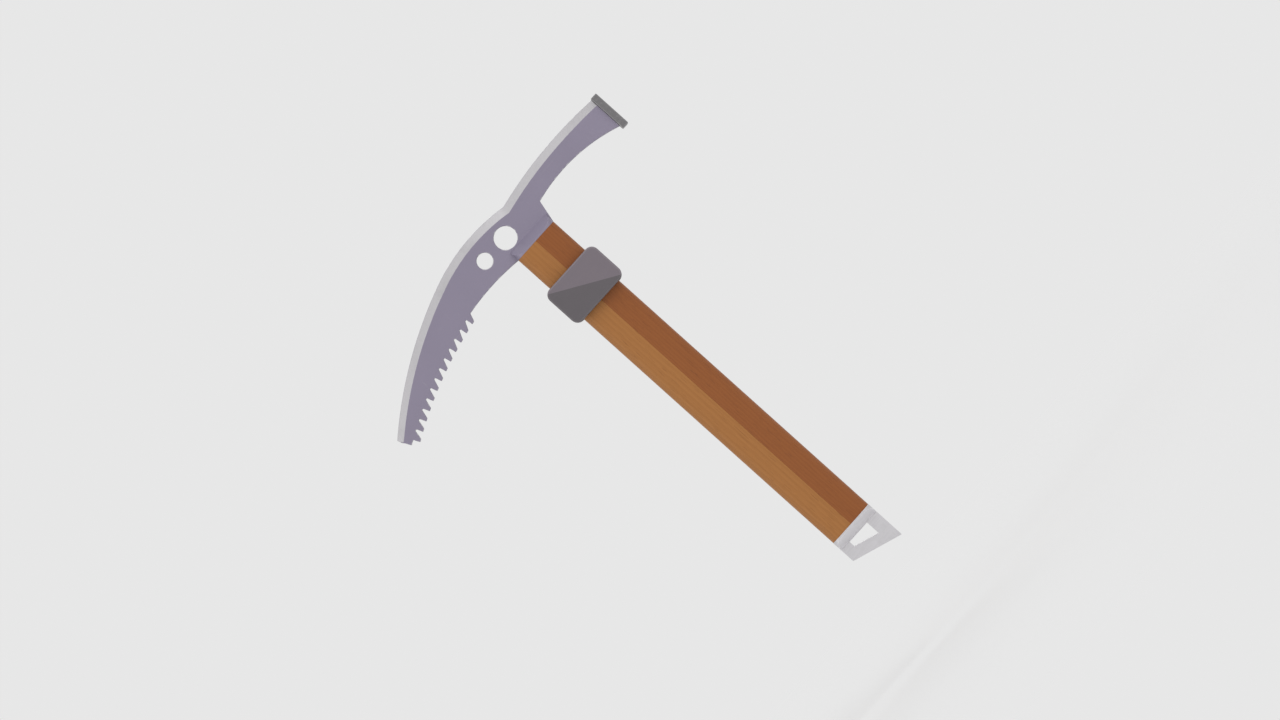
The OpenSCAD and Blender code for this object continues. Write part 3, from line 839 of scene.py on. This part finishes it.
@dataclass
class WoodenShaft:
    """The two glued staves.

    Args:
        arris: The rounding of the staves' edges.
        golden_painted_light: The wood on the pick's side, its lighter tone painted light on that
            side of the shaft.
        reddish_painted_shade: The wood on the hammer's side, its darker tone painted shade on that
            side of the shaft.
    """

    arris: float = 0.12 * MM
    # The staves are two real glued pieces; their golden and reddish tones are painted light and
    # painted shade of the shaft's two sides.
    golden_painted_light: Finish = Timber(
        "golden_stave_painted_light", early=(0.380, 0.156, 0.0385), late=(0.312, 0.121, 0.025),
        pore=(0.156, 0.052, 0.0104), pith=(-0.055, 0.085, 0.0))
    reddish_painted_shade: Finish = Timber(
        "reddish_stave_painted_shade", early=(0.280, 0.0865, 0.016), late=(0.229, 0.064, 0.0098),
        pore=(0.103, 0.0247, 0.0062), pith=(0.105, -0.075, 0.0), ring=1.7 * MM)

    def build(self) -> list[bpy.types.Object]:
        """Returns both staves."""
        return [clad(Softened(node, name, over(40, self.arris), segments=1), Body.AXE, [timber])
                for node, name, timber in (
                    ("pick_side_stave", "golden_wood_stave_painted_light", self.golden_painted_light),
                    ("hammer_side_stave", "reddish_wood_stave_painted_shade", self.reddish_painted_shade))]


@dataclass
class SlottedSpike:
    """The spike plate, its ferrule and the ferrule's pins.

    Args:
        edge: The rounding of the spike's outline.
        slot_edge: The rounding just under the ferrule, where the slot begins.
        slot_reach: How far below the ferrule that smaller rounding goes.
        tang_from: How far above the ferrule's foot the spike's edges are hidden.
        edge_from: The angle, in degrees, from which an edge is rounded.
        ferrule_edge: The rounding of the ferrule.
        upright: The greatest tilt along the shaft of a face on the ferrule's rim.
        plate: The finish of the spike.
        corner: The finish of its rounded edges.
        band: The finish of the ferrule's slopes, lightened as painted light against their shade.
        rim: The finish of its rim, darkened as painted shade against the light that it catches.
        pin: The finish of the side pins.
    """

    edge: float = 0.25 * MM
    slot_edge: float = 0.08 * MM
    slot_reach: float = 1.0 * MM
    tang_from: float = 2 * MM
    edge_from: float = 30.0
    ferrule_edge: float = 0.20 * MM
    upright: float = 0.25
    plate: Finish = GroundSteel("spike_steel", (0.638, 0.625, 0.645), (120, 2600, 2600))
    corner: Finish = GroundSteel(
        "spike_steel_edge", (0.680, 0.668, 0.686), (900, 900, 900), roughness=0.36)
    # Painted light and shade: the ferrule's slopes are lighter and its rim darker than its steel,
    # so that the band shows one even tone.
    band: Finish = GroundSteel("ferrule_steel_painted_light", (0.770, 0.755, 0.778), (110, 110, 2600))
    rim: Finish = GroundSteel("ferrule_rim_steel_painted_shade", (0.610, 0.597, 0.617), (110, 110, 2600))
    pin: Finish = TurnedMetal("pin_steel", (0.40, 0.395, 0.40), 0.32)

    def __post_init__(self) -> None:
        """Reads the height of the ferrule's foot."""
        self.ferrule_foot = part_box("ferrule")[0].z

    def _width(self, edge: bmesh.types.BMEdge, angle: float) -> float:
        """Returns the rounding for one edge of the spike."""
        low, high = sorted(vertex.co.z for vertex in edge.verts)
        if angle < math.radians(self.edge_from) or high > self.ferrule_foot + self.tang_from:
            return 0.0
        return self.slot_edge if low > self.ferrule_foot - self.slot_reach else self.edge

    def _look(self, face: bpy.types.MeshPolygon) -> Look:
        """Returns the second look, darkened as painted shade, for the ferrule's rim and the first,
        lightened as painted light, for its slopes.
        """
        return Look.WORN if abs(face.normal.z) < self.upright else Look.PLAIN

    def build(self) -> list[bpy.types.Object]:
        """Returns the spike, the ferrule and its pins."""
        ferrule_rule = over(self.edge_from, self.ferrule_edge)
        return [
            clad(Softened("spike", "slotted_spike", self._width), Body.AXE,
                 [self.plate, self.corner]),
            clad(Softened("ferrule", "ferrule_band", ferrule_rule), Body.AXE,
                 [self.band, self.rim], self._look),
            clad(Softened("ferrule_pins", "ferrule_side_pins", over(40, 0.08 * MM)), Body.AXE,
                 [self.pin])]


@dataclass
class HandStop:
    """The sliding hand stop: two moulded shells, clamp screws and wiper rings.

    Args:
        edge: The rounding of the shells' facets.
        edge_from: The angle, in degrees, from which an edge is rounded.
        facet_area: The area over which a face is one of the shells' facets.
        facet_y: The least tilt of such a facet towards the side.
        seam_slack: How far from the seam's plane an edge still lies in it.
        light: The plastic of the shell towards the head, its lighter grey painted light on that
            half of the stop.
        light_edge_painted_light: The same on the rounded edges.
        dark_painted_shade: The plastic of the shell towards the spike, its darker grey painted
            shade on that half of the stop.
        dark_edge_painted_shade: The same on the rounded edges.
        screw: The finish of the clamp screws.
        wiper: The finish of the wiper rings.
    """

    edge: float = 1.2 * MM
    edge_from: float = 24.0
    facet_area: float = 300 * MM * MM
    facet_y: float = 0.97
    seam_slack: float = 0.1 * MM
    # The shells are two real pieces; their light and dark greys are painted light and painted
    # shade of the stop's two halves.
    light: Finish = MouldedPolymer("light_grey_polymer_painted_light", (0.1665, 0.140, 0.1615))
    light_edge_painted_light: Finish = MouldedPolymer("light_grey_polymer_edge_painted_light", (0.182, 0.156, 0.178), 1.0)
    dark_painted_shade: Finish = MouldedPolymer("dark_grey_polymer_painted_shade", (0.111, 0.0985, 0.108))
    dark_edge_painted_shade: Finish = MouldedPolymer("dark_grey_polymer_edge_painted_shade", (0.124, 0.111, 0.121), 1.0)
    screw: Finish = TurnedMetal("screw_steel", (0.42, 0.42, 0.44), 0.30)
    wiper: Finish = Elastomer("wiper_rubber")

    def __post_init__(self) -> None:
        """Finds the hand stop's middle and the slope of its seam."""
        lows, highs = zip(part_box("collar_head_shell"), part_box("collar_spike_shell"))
        low, high = Vector(map(min, *lows)), Vector(map(max, *highs))
        size = high - low
        self.middle = (low + high) / 2
        self.across = Vector((size.z, 0.0, size.x)).normalized()

    def _on_seam(self, edge: bmesh.types.BMEdge) -> bool:
        """Tells whether an edge lies in the plane in which the shells meet."""
        return all(abs((vertex.co - self.middle).dot(self.across)) < self.seam_slack
                   for vertex in edge.verts)

    def _width(self, edge: bmesh.types.BMEdge, angle: float) -> float:
        """Returns the rounding for one edge of a shell."""
        if angle < math.radians(self.edge_from) or self._on_seam(edge):
            return 0.0
        on_facet = any(abs(face.normal.y) > self.facet_y and face.calc_area() > self.facet_area
                       for face in edge.link_faces)
        return self.edge if on_facet else 0.0

    def _shell(self, node: str, name: str, plain: Finish, worn: Finish) -> bpy.types.Object:
        """Returns one of the two shells."""
        shape = Softened(node, name, self._width, segments=3, mend=self.facet_area)
        return clad(shape, Body.HAND_STOP, [plain, worn])

    def build(self) -> list[bpy.types.Object]:
        """Returns the shells, the screws and the wiper rings."""
        return [
            self._shell("collar_head_shell", "light_stop_shell_painted_light", self.light, self.light_edge_painted_light),
            self._shell("collar_spike_shell", "dark_stop_shell_painted_shade", self.dark_painted_shade, self.dark_edge_painted_shade),
            clad(Softened("collar_screws", "clamp_screws", over(50, 0.15 * MM)),
                 Body.HAND_STOP, [self.screw]),
            clad(Softened("collar_wipers", "wiper_rings", over(60, 0.20 * MM)),
                 Body.HAND_STOP, [self.wiper])]


@dataclass
class HiddenPieces:
    """Pieces inside the shaft and the hand stop, which keep their own form.

    Args:
        steel: The finish of the pins.
        spring: The finish of the pads' springs.
        brass: The finish of the inserts.
        hide: The leather of the washers.
        pad: The leather of the pads.
        key: The wood of the staves' key.
    """

    steel: Finish = TurnedMetal("hidden_pin_steel", (0.40, 0.395, 0.40), 0.34)
    spring: Finish = TurnedMetal("spring_steel", (0.30, 0.31, 0.34), 0.30)
    brass: Finish = TurnedMetal("insert_brass", (0.55, 0.36, 0.12), 0.30)
    hide: Finish = Hide("washer_leather")
    pad: Finish = Hide("pad_leather", (0.180, 0.085, 0.036))
    key: Finish = Timber(
        "key_wood", early=(0.520, 0.290, 0.120), late=(0.400, 0.200, 0.080),
        pore=(0.240, 0.110, 0.045), pith=(0.02, -0.06, 0.0))

    def build(self) -> list[bpy.types.Object]:
        """Gives each hidden node its finish and returns the nodes' objects."""
        leather, steel = self.hide.material(), self.steel.material()
        plan = {"socket_washer": leather, "ferrule_washer": leather,
                "friction_pads": self.pad.material(),
                "tang_pins": steel, "spike_pins": steel,
                "pad_springs": self.spring.material(),
                "collar_inserts": self.brass.material(),
                "stave_key": self.key.material()}
        for node, material in plan.items():
            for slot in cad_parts[node].material_slots:
                slot.material = material
        return [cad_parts[node] for node in plan]


# ---------------------------------------------------------------- studio


@dataclass(frozen=True)
class Lamp:
    """A broad, distant lamp.

    Args:
        name: The lamp's name.
        strength: Its irradiance.
        toward: The direction from the axe to the lamp.
        spread: Its apparent width, in degrees.
    """

    name: str
    strength: float
    toward: Triple
    spread: float

    def on_floor(self) -> float:
        """Returns the radiance that the lamp gives a white floor."""
        return self.strength * max(0.0, Vector(self.toward).normalized().z) / math.pi

    def add(self) -> None:
        """Adds the lamp to the scene."""
        data = bpy.data.lights.new(self.name, "SUN")
        data.energy, data.angle = self.strength, math.radians(self.spread)
        lamp = bpy.data.objects.new(self.name, data)
        lamp.rotation_mode = "QUATERNION"
        lamp.rotation_quaternion = Vector(self.toward).to_track_quat("Z", "Y")
        bpy.context.scene.collection.objects.link(lamp)


@dataclass
class Studio:
    """Pale floor, soft lamps and the camera that looks square at the axe's side.

    Args:
        lens: The camera's focal length, in millimetres.
        sensor: The width of its sensor, in millimetres.
        clip: The nearest and the furthest distance that it sees.
        field_width: The width of its field at the axe.
        roll: Its turn, in degrees, that makes the shaft run down to the right.
        aim: The point that it looks at.
        floor_gap: How far the floor lies below the axe.
        floor_radius: The floor's radius.
        floor_fade: The shares of that radius between which the floor fades out.
        floor_roughness: The floor's roughness.
        floor_sides: The number of the floor's sides.
        pale: The brightness of the backdrop.
        lamps: The lamps.
    """

    lens: float = 200.0
    sensor: float = 36.0
    clip: tuple[float, float] = (0.1, 50.0)
    field_width: float = 0.930
    roll: float = 48.09
    aim: Triple = (-0.0007, 0.0, -0.1319)
    floor_gap: float = 0.07
    floor_radius: float = 1.6
    floor_fade: tuple[float, float] = (0.25, 0.95)
    floor_roughness: float = 0.9
    floor_sides: int = 64
    pale: float = 0.80
    lamps: tuple[Lamp, ...] = (
        Lamp("key_lamp", 0.65, (0.9, -1.0, 1.1), 40),
        Lamp("fill_lamp", 0.40, (-1.0, -0.8, 0.3), 60),
        Lamp("back_lamp", 0.60, (0.2, 1.0, 0.8), 45))

    def _camera(self) -> None:
        """Adds the camera, rolled so that the shaft runs down to the right."""
        data = bpy.data.cameras.new("studio_camera")
        data.lens, data.sensor_width = self.lens, self.sensor
        data.clip_start, data.clip_end = self.clip
        distance = self.lens / self.sensor * self.field_width
        turn = math.radians(self.roll)
        right = Vector((math.cos(turn), 0.0, -math.sin(turn)))
        up = Vector((math.sin(turn), 0.0, math.cos(turn)))
        back = right.cross(up)
        camera = bpy.data.objects.new("studio_camera", data)
        pose = Matrix((right, up, back)).transposed().to_4x4()
        pose.translation = Vector(self.aim) + back * distance
        camera.matrix_world = pose
        bpy.context.scene.collection.objects.link(camera)
        bpy.context.scene.camera = camera

    def _world(self) -> None:
        """Adds even daylight of the backdrop's own pale tone."""
        world = bpy.data.worlds.new("studio_world")
        world.use_nodes = True
        tree = world.node_tree
        tree.nodes.clear()
        sky = tree.nodes.new("ShaderNodeBackground")
        sky.inputs["Color"].default_value = rgba((self.pale,) * 3)
        out = tree.nodes.new("ShaderNodeOutputWorld")
        tree.links.new(sky.outputs[0], out.inputs["Surface"])
        bpy.context.scene.world = world

    def _floor_material(self) -> bpy.types.Material:
        """Returns a material that takes shadows and fades out towards the floor's rim."""
        light = self.pale + sum(lamp.on_floor() for lamp in self.lamps)
        s = Surface("studio_floor")
        s.done(base_color=(self.pale / light,) * 3, roughness=self.floor_roughness,
               specular_ior_level=0.0)
        reach = s.node("ShaderNodeVectorMath", {"operation": "LENGTH"}, {0: s.place}, "Value")
        near, far = (share * self.floor_radius for share in self.floor_fade)
        fade = s.ease(reach, near, far)
        lit = Value(s, s.shader.outputs["BSDF"])
        clear = s.node("ShaderNodeBsdfTransparent")
        both = s.node("ShaderNodeMixShader", {}, {0: fade, 1: lit, 2: clear})
        out = next(node for node in s.tree.nodes if node.type == "OUTPUT_MATERIAL")
        s.tree.links.new(both.socket, out.inputs["Surface"])
        return s.material

    def _floor(self) -> None:
        """Adds a round pale floor that takes shadows and else shows the background's tone."""
        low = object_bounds()[0]
        mesh = bpy.data.meshes.new("studio_floor")
        bm = bmesh.new()
        bmesh.ops.create_circle(bm, cap_ends=True, segments=self.floor_sides,
                                radius=self.floor_radius)
        bm.to_mesh(mesh)
        bm.free()
        floor = bpy.data.objects.new("studio_floor", mesh)
        floor.location = (0.0, 0.0, low.z - self.floor_gap)
        bpy.context.scene.collection.objects.link(floor)
        mesh.materials.append(self._floor_material())
        floor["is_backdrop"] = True

    def build(self) -> None:
        """Adds the camera, the lamps, the world and the floor."""
        self._camera()
        self._world()
        for lamp in self.lamps:
            lamp.add()
        self._floor()
        bpy.context.scene.view_settings.view_transform = "Standard"


def main() -> None:
    """Builds the axe's looks and the studio, and reports each piece."""
    logging.basicConfig(level=logging.INFO, format="%(name)s: %(message)s")
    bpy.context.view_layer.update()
    for assembly in (ForgedHead(), StrikingCap(), WoodenShaft(), SlottedSpike(), HandStop(),
                     HiddenPieces()):
        for piece in assembly.build():
            LOG.info("%s: %d faces", piece.name, len(piece.data.polygons))
    Studio().build()


if __name__ == "__main__":
    main()
